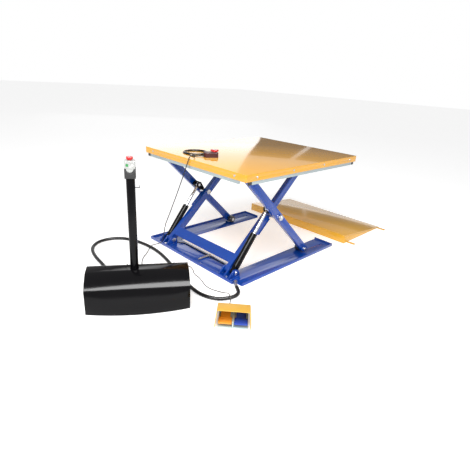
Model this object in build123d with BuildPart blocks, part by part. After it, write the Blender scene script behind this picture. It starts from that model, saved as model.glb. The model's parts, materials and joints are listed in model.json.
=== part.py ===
from build123d import *
from math import asin, atan2, cos, degrees, hypot, radians, sin, tan
import os

# Low profile scissor lift table with hood, foot switch and loading ramp.
# Frame: origin on the floor under the middle of the base, +X away from the
# fixed hinges and towards the ramp, +Y to the left, +Z up. Millimetres.

# Platform
platform_length = 1430
platform_width = 1200
platform_front_x = -652
platform_top = 855
deck_thickness = 5
rim_depth = 50
rim_thickness = 4
rim_corner = 6
rib_height = 40
rib_thickness = 8

# Safety bar under the rim
bar_drop = 25
bar_thickness = 7
bar_height = 61
bar_gap = 1
bar_travel = 8
bar_bolt_radius = 4
bar_bolt_below_top = 25
bar_corner_gap = 25
bar_end_length = 35
hose_notch_height = 22

# Base frame
base_length = 1272
base_width = 1172
base_thickness = 8
rail_width = 200
front_plate_depth = 200
lip_height = 25
lip_thickness = 6
anchor_spacing_x = 1160
anchor_spacing_y = 1000
anchor_radius = 7
hose_notch_length = 36
hose_notch_width = 71

# Scissor arms
hinge_x = -545
arm_length = 1130
arm_depth = 60
arm_thickness = 40
inner_arm_inside = 360
outer_arm_inside = 475
roller_radius = 34.7
roller_gap = 0.3
roller_width = 40
pin_radius = 12.5
centre_pin_radius = 15
axle_radius = 10
running_gap = 0.05
side_gap = 5

# Cross members of the inner frame
cross_plate_start = 45
cross_plate_width = 85
cross_plate_thickness = 8
cross_tube_radius = 18
cross_tube_wall = 4
cross_tube_from_end = 62

# Lift cylinders
cylinder_y = 433
rod_pin_station = 470
barrel_radius = 27
barrel_wall = 6
barrel_length = 340
barrel_start = 46
barrel_eye_radius = 24
barrel_eye_width = 36
gland_length = 25
rod_radius = 13
piston_length = 25
rod_eye_radius = 22
rod_eye_width = 24
rod_eye_bore = 12
rod_pin_head = 1
ear_radius = 30
ear_post_radius = 6
ear_post_offset = 61
inner_ear_inside = 413.5
inner_ear_thickness = 6

# Guide channel on each inner arm
channel_start = 370
channel_end = 538
channel_depth = 12
channel_wall = 4
channel_height = 66

# Hinge lugs on the base and under the deck
lug_radius = 30
lug_thickness = 12
lug_front_reach = 75
lug_back_reach = 40

# Hydraulic pipes and valve on the front plate
pipe_radius = 4
pipe_slot_x = -497
pipe_slot_width = 12
pipe_slot_start = 310
pipe_slot_end = 446
pipe_run_x = -465
tee_y = -55
tee_width = 30
tee_height = 18
valve_radius = 8
valve_length = 110

# Power pack
pack_x = -1354
pack_y = -391.5
pack_angle = -32.4
pack_width = 660
pack_depth = 220
pack_bulge = 39
pack_height = 240
pack_tray_thickness = 4
hood_wall = 3
hood_front_height = 92
hood_bend = (14, 176)
hood_top_start = 122
hood_back_radius = 18
tray_inset = 7
tray_front_gap = 6
tray_back_gap = 14

# Control post
post_u = -25
post_n = 165
post_radius = 27
post_wall = 3
post_bolt_radius = 5
post_foot = 6
hook_z = 784
hook_reach = 28
hook_width = 10
hook_thickness = 3
hook_lip = 15
post_top = 845
holder_width = 66
holder_height = 60
holder_floor = 6
holder_corner = 6
holder_gap = 0.2
holder_arch_radius = 22
box_width = 62
box_height = 55
stop_radius = 20
stop_travel = 4
key_radius = 8
key_travel = 3

# Foot switch
pedal_x = -1017
pedal_y = -915.5
pedal_angle = -46.9
pedal_width = 204
pedal_depth = 190
guard_height = 130
guard_back_height = 104
guard_wall = 4
treadle_width = 84
treadle_thickness = 10

# Handset on the platform
handset_x = -456
handset_y = -22
handset_angle = -26.6
handset_length = 110
handset_width = 62
handset_height = 40
handset_stop_radius = 31

# Ramp
ramp_gap = 6
ramp_length = 745
ramp_width = 1250
ramp_height = 80
ramp_plate = 6
ramp_lug_width = 26
ramp_lug_length = 84
ramp_lug_hole_radius = 5
ramp_tip_depth = 20

# Cords
hose_diameter = 28
hose_gland_u = -170
pendant_gland_u = 60
pedal_gland_u = 215
gland_reach = 18
coil_x = -458
coil_y = 160
coil_outer_x = 122
coil_outer_y = 120
coil_band = 34
coil_height = 15
pedal_cable_diameter = 6
pendant_cable_diameter = 7
loop_cable_diameter = 4

os.makedirs("parts", exist_ok=True)

# Derived places
platform_back_x = platform_front_x + platform_length
low_axis_z = base_thickness + roller_gap + roller_radius
deck_underside = platform_top - deck_thickness
high_axis_z = deck_underside - roller_gap - roller_radius
raised_angle = degrees(asin((high_axis_z - low_axis_z) / arm_length))
arm_run = arm_length * cos(radians(raised_angle))
roller_x = hinge_x + arm_run
centre_x = hinge_x + arm_run / 2
centre_z = (high_axis_z + low_axis_z) / 2
inner_arm_outside = inner_arm_inside + arm_thickness
outer_arm_outside = outer_arm_inside + arm_thickness
rim_bottom = platform_top - rim_depth
bar_bottom = rim_bottom - bar_drop
inner_plane = Plane(
    origin=(hinge_x, 0, low_axis_z),
    x_dir=(cos(radians(raised_angle)), 0, sin(radians(raised_angle))),
    z_dir=(0, -1, 0),
)
outer_plane = Plane(
    origin=(hinge_x, 0, high_axis_z),
    x_dir=(cos(radians(raised_angle)), 0, -sin(radians(raised_angle))),
    z_dir=(0, -1, 0),
)
rod_pin = outer_plane.from_local_coords((rod_pin_station, 0, 0))
cylinder_reach = hypot(rod_pin.X - hinge_x, rod_pin.Z - low_axis_z)
cylinder_angle = degrees(atan2(rod_pin.Z - low_axis_z, rod_pin.X - hinge_x))
cylinder_plane = Plane(
    origin=(hinge_x, 0, low_axis_z),
    x_dir=(cos(radians(cylinder_angle)), 0, sin(radians(cylinder_angle))),
    z_dir=(0, -1, 0),
)
pack_plane = Plane(
    origin=(pack_x, pack_y, 0),
    x_dir=(cos(radians(pack_angle)), sin(radians(pack_angle)), 0),
    z_dir=(0, 0, 1),
)
pedal_plane = Plane(
    origin=(pedal_x, pedal_y, 0),
    x_dir=(cos(radians(pedal_angle)), sin(radians(pedal_angle)), 0),
    z_dir=(0, 0, 1),
)
handset_plane = Plane(
    origin=(handset_x, handset_y, platform_top),
    x_dir=(cos(radians(handset_angle)), sin(radians(handset_angle)), 0),
    z_dir=(0, 0, 1),
)


def save(piece, name):
    piece.part.label = name
    export_step(piece.part, f"parts/{name}.step")


def side_of(plane, along):
    """A plane whose X runs along the piece's depth and whose Y is up."""
    return Plane(origin=plane.from_local_coords((along, 0, 0)), x_dir=plane.y_dir, z_dir=plane.x_dir)


def discs(stations, plane):
    """Round steps on one axis, each from start to stop along the plane's normal."""
    for start, stop, radius in stations:
        with Locations(plane.offset(start).location):
            Cylinder(radius, stop - start, align=(Align.CENTER, Align.CENTER, Align.MIN))


# ---------------------------------------------------------------- base
half_length = base_length / 2
half_base = base_width / 2
with BuildPart() as base_frame:
    with BuildSketch():
        Rectangle(base_length, base_width)
        with Locations(((front_plate_depth) / 2, 0)):
            Rectangle(base_length - front_plate_depth, base_width - 2 * rail_width, mode=Mode.SUBTRACT)
    extrude(amount=base_thickness)
    with BuildSketch(Plane.XY.offset(base_thickness)):
        Rectangle(base_length, base_width)
        Rectangle(base_length - 2 * lip_thickness, base_width - 2 * lip_thickness, mode=Mode.SUBTRACT)
        with Locations((half_length - lip_thickness / 2, 0)):
            Rectangle(lip_thickness * 2, base_width - 2 * rail_width, mode=Mode.SUBTRACT)
    extrude(amount=lip_height - base_thickness)
    with BuildSketch():
        with Locations((-half_length + hose_notch_length / 2, -half_base + hose_notch_width / 2)):
            Rectangle(hose_notch_length, hose_notch_width)
    extrude(amount=lip_height, mode=Mode.SUBTRACT)
    with BuildSketch():
        slot_middle = (pipe_slot_start + pipe_slot_end) / 2
        with Locations((pipe_slot_x, slot_middle), (pipe_slot_x, -slot_middle)):
            Rectangle(pipe_slot_width, pipe_slot_end - pipe_slot_start)
    extrude(amount=base_thickness, mode=Mode.SUBTRACT)
    with Locations((0, 0, base_thickness)):
        with GridLocations(anchor_spacing_x, anchor_spacing_y, 2, 2):
            Hole(anchor_radius)
save(base_frame, "base_frame")

inner_lug_inside = inner_arm_inside - lug_thickness - 3
middle_lug_inside = inner_arm_outside + 2
outer_lug_inside = cylinder_y + barrel_eye_width / 2 + 2
lug_rows = [
    (inner_lug_inside, inner_lug_inside + lug_thickness),
    (middle_lug_inside, middle_lug_inside + lug_thickness - 1),
    (outer_lug_inside, outer_lug_inside + lug_thickness),
]
with BuildPart() as hinge_lugs:
    for start, stop in lug_rows:
        with BuildSketch(Plane.XZ.offset(start)):
            with BuildLine():
                Polyline(
                    (hinge_x, low_axis_z + lug_radius),
                    (hinge_x - 28, low_axis_z + lug_radius),
                    (hinge_x - lug_front_reach, base_thickness + 12),
                    (hinge_x - lug_front_reach, base_thickness),
                    (hinge_x + lug_back_reach, base_thickness),
                    (hinge_x + lug_back_reach, base_thickness + 12),
                )
                TangentArc(
                    (hinge_x + lug_back_reach, base_thickness + 12),
                    (hinge_x, low_axis_z + lug_radius),
                    tangent=(0, 1),
                )
            make_face()
            with Locations((hinge_x, low_axis_z)):
                Circle(pin_radius, mode=Mode.SUBTRACT)
        extrude(amount=stop - start)
    mirror(about=Plane.XZ)
save(hinge_lugs, "hinge_lugs")

base_pin_plane = Plane(origin=(hinge_x, 0, low_axis_z), x_dir=(1, 0, 0), z_dir=(0, -1, 0))
outer_lug_outside = outer_lug_inside + lug_thickness
with BuildPart() as base_pins:
    discs(
        [
            (inner_lug_inside - 6, inner_lug_inside, pin_radius + 6),
            (inner_lug_inside, outer_lug_outside, pin_radius),
        ],
        base_pin_plane,
    )
    mirror(about=Plane.XZ)
save(base_pins, "base_pins")

# ---------------------------------------------------------------- inner arms
bore_radius = pin_radius + running_gap
with BuildPart() as inner_frame:
    with BuildSketch(inner_plane.offset(inner_arm_inside)):
        with Locations((arm_length / 2, 0)):
            SlotCenterToCenter(arm_length, arm_depth)
        Circle(bore_radius, mode=Mode.SUBTRACT)
        with Locations((arm_length / 2, 0)):
            Circle(centre_pin_radius, mode=Mode.SUBTRACT)
        with Locations((arm_length, 0)):
            Circle(axle_radius, mode=Mode.SUBTRACT)
    extrude(amount=arm_thickness)
    mirror(about=Plane.XZ)
    with BuildSketch(inner_plane):
        with Locations((cross_plate_start + cross_plate_width / 2, (arm_depth - cross_plate_thickness) / 2)):
            Rectangle(cross_plate_width, cross_plate_thickness)
        with Locations((arm_length - cross_tube_from_end, 0)):
            Circle(cross_tube_radius)
            Circle(cross_tube_radius - cross_tube_wall, mode=Mode.SUBTRACT)
    extrude(amount=inner_arm_inside, both=True)
save(inner_frame, "inner_frame")

with BuildPart() as guide_channels:
    with BuildSketch(inner_plane.offset(inner_arm_outside)):
        with Locations(((channel_start + channel_end) / 2, 0)):
            Rectangle(channel_end - channel_start, channel_height)
    extrude(amount=channel_depth)
    with BuildSketch(inner_plane.offset(inner_arm_outside + channel_wall)):
        with Locations(((channel_start + channel_end) / 2, 0)):
            Rectangle(channel_end - channel_start, channel_height - 2 * channel_wall)
    extrude(amount=channel_depth - channel_wall, mode=Mode.SUBTRACT)
    mirror(about=Plane.XZ)
save(guide_channels, "guide_channels")

centre_plane = Plane(origin=(centre_x, 0, centre_z), x_dir=(1, 0, 0), z_dir=(0, -1, 0))
with BuildPart() as centre_pins:
    discs(
        [
            (inner_arm_inside - 6, inner_arm_inside, centre_pin_radius + 7),
            (inner_arm_inside, outer_arm_outside + 0.5, centre_pin_radius),
            (outer_arm_outside + 0.5, outer_arm_outside + 7, centre_pin_radius + 8),
            (outer_arm_outside + 7, outer_arm_outside + 13, 10),
        ],
        centre_plane,
    )
    with BuildSketch(centre_plane.offset(inner_arm_outside)):
        Circle(centre_pin_radius + 8)
    extrude(amount=outer_arm_inside - inner_arm_outside - 0.5)
    mirror(about=Plane.XZ)
save(centre_pins, "centre_pins")

top_roller_inside = inner_arm_inside - side_gap - roller_width
axle_plane = Plane(origin=(roller_x, 0, high_axis_z), x_dir=(1, 0, 0), z_dir=(0, -1, 0))
with BuildPart() as top_axle:
    discs(
        [
            (0, inner_arm_outside, axle_radius),
            (inner_arm_outside, inner_arm_outside + 4, axle_radius + 5),
            (inner_arm_inside - side_gap + 0.5, inner_arm_inside, axle_radius + 5),
            (top_roller_inside - 6, top_roller_inside - 0.5, axle_radius + 5),
        ],
        axle_plane,
    )
    mirror(about=Plane.XZ)
save(top_axle, "top_axle")


def roller(plane, start, side, name):
    with BuildPart() as wheel:
        with BuildSketch(plane.offset(-side * start)):
            Circle(roller_radius)
            Circle(axle_radius + running_gap, mode=Mode.SUBTRACT)
        extrude(amount=-side * roller_width)
        chamfer(wheel.edges().filter_by(GeomType.CIRCLE).group_by(SortBy.RADIUS)[-1], 1.5)
        with BuildSketch(plane.offset(-side * start)):
            Circle(24)
            Circle(16, mode=Mode.SUBTRACT)
        extrude(amount=-side * 3, mode=Mode.SUBTRACT)
        with BuildSketch(plane.offset(-side * (start + roller_width))):
            Circle(24)
            Circle(16, mode=Mode.SUBTRACT)
        extrude(amount=side * 3, mode=Mode.SUBTRACT)
    save(wheel, name)


bottom_roller_inside = outer_arm_inside - 10 - roller_width
bottom_axle_plane = Plane(origin=(roller_x, 0, low_axis_z), x_dir=(1, 0, 0), z_dir=(0, -1, 0))
for side, hand in ((1, "left"), (-1, "right")):
    roller(axle_plane, top_roller_inside, side, f"top_roller_{hand}")
    roller(bottom_axle_plane, bottom_roller_inside, side, f"bottom_roller_{hand}")

# ---------------------------------------------------------------- outer arms
for side, hand in ((1, "left"), (-1, "right")):
    with BuildPart() as outer_arm:
        with BuildSketch(outer_plane.offset(-side * outer_arm_inside)):
            with Locations((arm_length / 2, 0)):
                SlotCenterToCenter(arm_length, arm_depth)
            Circle(bore_radius, mode=Mode.SUBTRACT)
            with Locations((arm_length / 2, 0)):
                Circle(centre_pin_radius + running_gap, mode=Mode.SUBTRACT)
            with Locations((arm_length, 0)):
                Circle(axle_radius, mode=Mode.SUBTRACT)
        extrude(amount=-side * arm_thickness)
    save(outer_arm, f"outer_arm_{hand}")

with BuildPart() as bottom_axles:
    discs(
        [
            (bottom_roller_inside - 6, bottom_roller_inside - 0.5, axle_radius + 5),
            (bottom_roller_inside - 6, outer_arm_outside, axle_radius),
            (outer_arm_inside - 9.5, outer_arm_inside, axle_radius + 5),
            (outer_arm_outside, outer_arm_outside + 4, axle_radius + 5),
        ],
        bottom_axle_plane,
    )
    mirror(about=Plane.XZ)
save(bottom_axles, "bottom_axles")

outer_ear_inside = cylinder_y + rod_eye_width / 2 + 2
post_station = rod_pin_station + ear_post_offset
with BuildPart() as rod_brackets:
    for start, stop in (
        (inner_ear_inside, inner_ear_inside + inner_ear_thickness),
        (outer_ear_inside, outer_arm_inside),
    ):
        with BuildSketch(outer_plane.offset(start)):
            with Locations((rod_pin_station, 0)):
                Circle(ear_radius)
            with BuildLine():
                Polyline(
                    (rod_pin_station, -ear_radius),
                    (post_station + ear_post_radius + 2, -ear_post_radius - 8),
                    (post_station + ear_post_radius + 2, ear_post_radius + 8),
                    (rod_pin_station, ear_radius),
                    close=True,
                )
            make_face()
            with Locations((rod_pin_station, 0)):
                Circle(rod_eye_bore, mode=Mode.SUBTRACT)
        extrude(amount=stop - start)
    with BuildSketch(outer_plane.offset(inner_ear_inside)):
        with Locations((post_station, 0)):
            Circle(ear_post_radius)
    extrude(amount=outer_arm_inside - inner_ear_inside)
    mirror(about=Plane.XZ)
save(rod_brackets, "rod_brackets")

# The rod pin stops short of the rod eye on both sides: this pivot is left open.
rod_pin_plane = Plane(origin=rod_pin, x_dir=(1, 0, 0), z_dir=(0, -1, 0))
with BuildPart() as rod_pins:
    discs(
        [
            (inner_ear_inside - rod_pin_head, inner_ear_inside, rod_eye_bore - 2),
            (inner_ear_inside, inner_ear_inside + inner_ear_thickness, rod_eye_bore),
            (outer_ear_inside, outer_arm_inside, rod_eye_bore),
        ],
        rod_pin_plane,
    )
    mirror(about=Plane.XZ)
save(rod_pins, "rod_pins")

# ---------------------------------------------------------------- cylinders
barrel_bore = barrel_radius - barrel_wall
for side, hand in ((1, "left"), (-1, "right")):
    cross_section = Plane(
        origin=(hinge_x, side * cylinder_y, low_axis_z),
        x_dir=(0, 1, 0),
        z_dir=cylinder_plane.x_dir,
    )
    with BuildPart() as barrel:
        with BuildSketch(cross_section.offset(barrel_start)):
            Circle(barrel_radius)
        extrude(amount=barrel_length - barrel_start)
        barrel_axis = Axis(cross_section.origin, cylinder_plane.x_dir)
        fillet(barrel.edges().filter_by(GeomType.CIRCLE).sort_by(barrel_axis)[-1], 3)
        with BuildSketch(cylinder_plane.offset(-side * cylinder_y - barrel_eye_width / 2)):
            Circle(barrel_eye_radius)
            with Locations((barrel_start / 2, 0)):
                Rectangle(barrel_start + 4, 1.6 * barrel_eye_radius)
        extrude(amount=barrel_eye_width)
        with BuildSketch(cylinder_plane.offset(-side * cylinder_y - barrel_radius)):
            Circle(bore_radius)
        extrude(amount=2 * barrel_radius, mode=Mode.SUBTRACT)
        bore_start = barrel_start + 14
        with BuildSketch(cross_section.offset(bore_start)):
            Circle(barrel_bore)
        extrude(amount=barrel_length - gland_length - bore_start, mode=Mode.SUBTRACT)
        with BuildSketch(cross_section.offset(bore_start)):
            Circle(rod_radius + running_gap)
        extrude(amount=barrel_length - bore_start, mode=Mode.SUBTRACT)
    save(barrel, f"barrel_{hand}")

    piston_start = barrel_length - gland_length - piston_length - 5
    with BuildPart() as rod:
        with BuildSketch(cross_section.offset(piston_start)):
            Circle(rod_radius)
        extrude(amount=cylinder_reach - rod_eye_radius + 3 - piston_start)
        with BuildSketch(cross_section.offset(piston_start)):
            Circle(barrel_bore - running_gap)
        extrude(amount=piston_length)
        with BuildSketch(cylinder_plane.offset(-side * cylinder_y - rod_eye_width / 2)):
            with Locations((cylinder_reach, 0)):
                Circle(rod_eye_radius)
        extrude(amount=rod_eye_width)
        with BuildSketch(cylinder_plane.offset(-side * cylinder_y - rod_eye_width / 2)):
            with Locations((cylinder_reach, 0)):
                Circle(rod_eye_bore)
        extrude(amount=rod_eye_width, mode=Mode.SUBTRACT)
    save(rod, f"rod_{hand}")

# ---------------------------------------------------------------- platform
deck_centre_x = platform_front_x + platform_length / 2
bolt_z = platform_top - bar_bolt_below_top
bolt_ys = (platform_width / 2 - 110, -platform_width / 2 + 110)
bolt_xs = [platform_front_x + 110 + step * (platform_length - 220) / 3 for step in range(4)]


def bar_bolt_places(inset):
    """Planes facing out of the rim, one at each bolt, this far inside its outer face."""
    places = []
    for end, face_x in ((-1, platform_front_x), (1, platform_back_x)):
        for y in bolt_ys:
            places.append(Plane(origin=(face_x - end * inset, y, bolt_z), x_dir=(0, 1, 0), z_dir=(end, 0, 0)))
    for side in (-1, 1):
        for x in bolt_xs:
            y = side * (platform_width / 2 - inset)
            places.append(Plane(origin=(x, y, bolt_z), x_dir=(1, 0, 0), z_dir=(0, side, 0)))
    return places


with BuildPart() as deck:
    with BuildSketch(Plane.XY.offset(rim_bottom)):
        with Locations((deck_centre_x, 0)):
            RectangleRounded(platform_length, platform_width, rim_corner)
            Rectangle(
                platform_length - 2 * rim_thickness,
                platform_width - 2 * rim_thickness,
                mode=Mode.SUBTRACT,
            )
    extrude(amount=rim_depth - deck_thickness)
    with BuildSketch(Plane.XY.offset(deck_underside)):
        with Locations((deck_centre_x, 0)):
            RectangleRounded(platform_length, platform_width, rim_corner)
    extrude(amount=deck_thickness)
    with BuildSketch(Plane.XY.offset(deck_underside - rib_height)):
        with Locations((hinge_x + arm_run * 0.6, -150), (hinge_x + arm_run * 0.6, 150)):
            Rectangle(arm_run * 0.7, rib_thickness)
    extrude(amount=rib_height)
    for place in bar_bolt_places(rim_thickness / 2):
        with Locations(place.location):
            Cylinder(bar_bolt_radius, 2 * rim_thickness, mode=Mode.SUBTRACT)
save(deck, "deck")

top_lug_inside = outer_arm_outside + 4
with BuildPart() as top_lugs:
    with BuildSketch(Plane.XZ.offset(top_lug_inside)):
        with Locations((hinge_x, high_axis_z)):
            Circle(lug_radius)
        with Locations((hinge_x, (high_axis_z + deck_underside) / 2)):
            Rectangle(2 * lug_radius, deck_underside - high_axis_z)
        with Locations((hinge_x, high_axis_z)):
            Circle(pin_radius, mode=Mode.SUBTRACT)
    extrude(amount=lug_thickness)
    mirror(about=Plane.XZ)
save(top_lugs, "top_lugs")

top_pin_plane = Plane(origin=(hinge_x, 0, high_axis_z), x_dir=(1, 0, 0), z_dir=(0, -1, 0))
with BuildPart() as top_pins:
    discs(
        [
            (outer_arm_inside, top_lug_inside + lug_thickness, pin_radius),
            (top_lug_inside + lug_thickness, top_lug_inside + lug_thickness + 5, pin_radius + 5),
        ],
        top_pin_plane,
    )
    mirror(about=Plane.XZ)
save(top_pins, "top_pins")

with BuildPart() as bar_bolts:
    for place in bar_bolt_places(0):
        inside = rim_thickness + bar_gap + bar_thickness
        discs(
            [
                (0, 2.5, bar_bolt_radius + 3),
                (-inside - 3, 0, bar_bolt_radius),
                (-inside - 7, -inside - 3, bar_bolt_radius + 3),
            ],
            place,
        )
save(bar_bolts, "bar_bolts")

# ---------------------------------------------------------------- safety bar
bar_outset = rim_thickness + bar_gap
bar_length = platform_length - 2 * bar_outset
bar_width = platform_width - 2 * bar_outset
bar_cut = bar_corner_gap + bar_end_length
with BuildPart() as safety_bar:
    with BuildSketch(Plane.XY.offset(bar_bottom)):
        with Locations((deck_centre_x, 0)):
            Rectangle(bar_length, bar_width)
            Rectangle(bar_length - 2 * bar_thickness, bar_width - 2 * bar_thickness, mode=Mode.SUBTRACT)
            with GridLocations(bar_length - bar_cut, bar_width - bar_cut, 2, 2):
                Rectangle(bar_cut, bar_cut, mode=Mode.SUBTRACT)
    extrude(amount=bar_height)
    for place in bar_bolt_places(bar_outset + bar_thickness / 2):
        with Locations(place.location * Location((0, -bar_travel / 2 * place.y_dir.Z, 0))):
            slot_width = 2 * bar_bolt_radius + 1
            Box(slot_width, bar_travel + slot_width, 2 * bar_thickness, mode=Mode.SUBTRACT)
save(safety_bar, "safety_bar")

with BuildPart() as bar_ends:
    with BuildSketch(Plane.XY.offset(bar_bottom)):
        with Locations((deck_centre_x, 0)):
            Rectangle(bar_length, bar_width)
            Rectangle(bar_length - 2 * bar_thickness, bar_width - 2 * bar_thickness, mode=Mode.SUBTRACT)
            Rectangle(bar_length, bar_width - 2 * bar_cut, mode=Mode.SUBTRACT)
            Rectangle(bar_length - 2 * bar_cut, bar_width, mode=Mode.SUBTRACT)
            with GridLocations(bar_length - bar_corner_gap, bar_width - bar_corner_gap, 2, 2):
                Rectangle(bar_corner_gap, bar_corner_gap, mode=Mode.SUBTRACT)
    extrude(amount=bar_height)
    with BuildSketch(Plane.XY.offset(bar_bottom)):
        with Locations((deck_centre_x - bar_length / 2, -bar_width / 2 + bar_cut / 2)):
            Rectangle(3 * bar_thickness, bar_cut)
    extrude(amount=hose_notch_height, mode=Mode.SUBTRACT)
save(bar_ends, "bar_ends")

# ---------------------------------------------------------------- ramp
ramp_x = platform_back_x + ramp_gap
with BuildPart() as ramp_deck:
    with BuildSketch(Plane.XZ):
        with BuildLine():
            Polyline(
                (ramp_x, ramp_height),
                (ramp_x + ramp_length, ramp_plate),
                (ramp_x + ramp_length, 0),
                (ramp_x + ramp_length - ramp_tip_depth, 0),
                (ramp_x + ramp_plate, ramp_height - 2 * ramp_plate),
                (ramp_x + ramp_plate, 0),
                (ramp_x, 0),
                close=True,
            )
        make_face()
    extrude(amount=ramp_width / 2, both=True)
save(ramp_deck, "ramp_deck")

ramp_lug_places = (ramp_x + 66, ramp_x + ramp_length - 34)
with BuildPart() as ramp_frame:
    for y in (-ramp_width / 2 + 3, -ramp_width / 6, ramp_width / 6, ramp_width / 2 - 3):
        with BuildSketch(Plane.XZ.offset(y - 3)):
            with BuildLine():
                Polyline(
                    (ramp_x + ramp_plate, 0),
                    (ramp_x + ramp_length - 2.3 * ramp_tip_depth, 0),
                    (ramp_x + ramp_plate, ramp_height - 2.4 * ramp_plate),
                    close=True,
                )
            make_face()
        extrude(amount=6)
    with BuildSketch():
        with Locations(*[(x, -ramp_width / 2 - ramp_lug_length / 2) for x in ramp_lug_places]):
            RectangleRounded(ramp_lug_width, ramp_lug_length, ramp_plate)
    extrude(amount=ramp_plate)
    lug_hole_y = -ramp_width / 2 - ramp_lug_length + 18
    with Locations(*[(x, lug_hole_y, ramp_plate) for x in ramp_lug_places]):
        Hole(ramp_lug_hole_radius)
save(ramp_frame, "ramp_frame")

# ---------------------------------------------------------------- cords and pipes
def corner_radii(points, share):
    """The largest arc that each corner's two runs allow, as a share of the shorter run."""
    radii = []
    for before, here, after in zip(points, points[1:], points[2:]):
        run_in = Vector(*here) - Vector(*before)
        run_out = Vector(*after) - Vector(*here)
        half_turn = radians(run_in.get_angle(run_out) / 2)
        radii.append(share * min(run_in.length, run_out.length) / tan(half_turn))
    return radii


def tube(points, radius, name, share=0.45):
    radii = corner_radii(points, share)
    with BuildPart() as cord:
        with BuildLine() as route:
            FilletPolyline(*points, radius=radii)
        start = route.wire() ^ 0
        with BuildSketch(Plane(origin=start.position, z_dir=route.wire() % 0)):
            Circle(radius)
        sweep(path=route.wire())
    length = route.wire().length
    print(name, "length", round(length), "tightest", round(min(radii)))
    return cord


def around(plane, u, n, z):
    """A point given in the pack's or the foot switch's own directions."""
    place = plane.from_local_coords((u, n, z))
    return (place.X, place.Y, place.Z)


low_pipe_z = base_thickness
high_pipe_z = base_thickness + pipe_radius + 0.5
pipe_bend = 0.42
with BuildPart() as hydraulic_pipes:
    for side in (-1, 1):
        tee_face = tee_y + side * tee_width / 2
        add(
            tube(
                [
                    (pipe_slot_x, side * (pipe_slot_end - 8), low_pipe_z),
                    (pipe_slot_x, side * 350, low_pipe_z),
                    (pipe_slot_x, side * 318, high_pipe_z),
                    (pipe_run_x, side * 290, high_pipe_z),
                    (pipe_run_x, tee_face, high_pipe_z),
                ],
                pipe_radius,
                "hydraulic pipe",
                pipe_bend,
            ).part
        )
save(hydraulic_pipes, "hydraulic_pipes")

with BuildPart() as pipe_tee:
    with BuildSketch(Plane.XY.offset(base_thickness)):
        with Locations((pipe_run_x, tee_y)):
            RectangleRounded(24, tee_width, 3)
    extrude(amount=tee_height)
save(pipe_tee, "pipe_tee")

valve_plane = Plane(
    origin=(pipe_run_x - 12, tee_y, base_thickness + tee_height / 2),
    x_dir=(0, 0, 1),
    z_dir=(-1, 0, 0),
)
with BuildPart() as flow_valve:
    discs(
        [
            (0, 12, valve_radius - 2),
            (12, 26, valve_radius + 1),
            (26, valve_length - 20, valve_radius),
            (valve_length - 20, valve_length, valve_radius - 3),
        ],
        valve_plane,
    )
save(flow_valve, "flow_valve")

hose_radius = hose_diameter / 2
union_end = (-650, -578)
union_angle = 60
union_plane = Plane(
    origin=(union_end[0], union_end[1], hose_radius),
    x_dir=(0, 0, 1),
    z_dir=(cos(radians(union_angle)), sin(radians(union_angle)), 0),
)
with BuildPart() as hose_union:
    discs([(0, 16, hose_radius - 0.5), (6, 16, hose_radius - 0.1), (16, 52, hose_radius - 2)], union_plane)
    with BuildSketch(Plane.XY.offset(1)):
        with Locations((-half_length + hose_notch_length - 10, -half_base + hose_notch_width - 12)):
            Rectangle(20, 24)
    extrude(amount=2 * hose_radius - 2)
save(hose_union, "hose_union")

hose_points = [
    around(pack_plane, hose_gland_u, pack_depth + gland_reach, 26),
    around(pack_plane, hose_gland_u, pack_depth + gland_reach + 75, 26),
    (-1290, 110, hose_radius),
    (-1240, 300, hose_radius),
    (-1220, 520, hose_radius),
    (-1165, 690, hose_radius),
    (-1040, 785, hose_radius),
    (-868, 745, hose_radius),
    (-778, 570, hose_radius),
    (-752, 330, hose_radius),
    (-792, 90, hose_radius),
    (-865, -140, hose_radius),
    (-915, -350, hose_radius),
    (-928, -500, hose_radius),
    (-880, -610, hose_radius),
    (-816, -651, hose_radius),
    (-758, -666, hose_radius),
    (-717, -659, hose_radius),
    (union_end[0] - 66 * union_plane.z_dir.X, union_end[1] - 66 * union_plane.z_dir.Y, hose_radius),
    (union_end[0], union_end[1], hose_radius),
]
main_hose = tube(hose_points, hose_radius, "main hose")
save(main_hose, "main_hose")

pedal_cable_points = [
    around(pack_plane, pedal_gland_u, pack_depth + gland_reach, 20),
    around(pack_plane, pedal_gland_u, pack_depth + gland_reach + 48, 20),
    (-985, -196, 3),
    (-950, -128, 3),
    (-908, -70, 4),
    (-868, -38, 32),
    (-840, -24, 39),
    (-804, -20, 39),
    (-768, -28, 14),
    (-728, -50, 3),
    (-702, -96, 3),
    (-722, -158, 3),
    (-760, -215, 3),
    (-764, -284, 3),
    (-786, -352, 3),
    (-810, -418, 3),
    (-806, -484, 3),
    (-784, -538, 4),
    (-780, -592, 16),
    (-788, -632, 39),
    (-806, -672, 39),
    (-828, -702, 20),
    around(pedal_plane, -40, pedal_depth + 54, 12),
    around(pedal_plane, -40, pedal_depth + 14, 12),
]
pedal_cable = tube(pedal_cable_points, pedal_cable_diameter / 2, "pedal cable")
save(pedal_cable, "pedal_cable")

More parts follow.
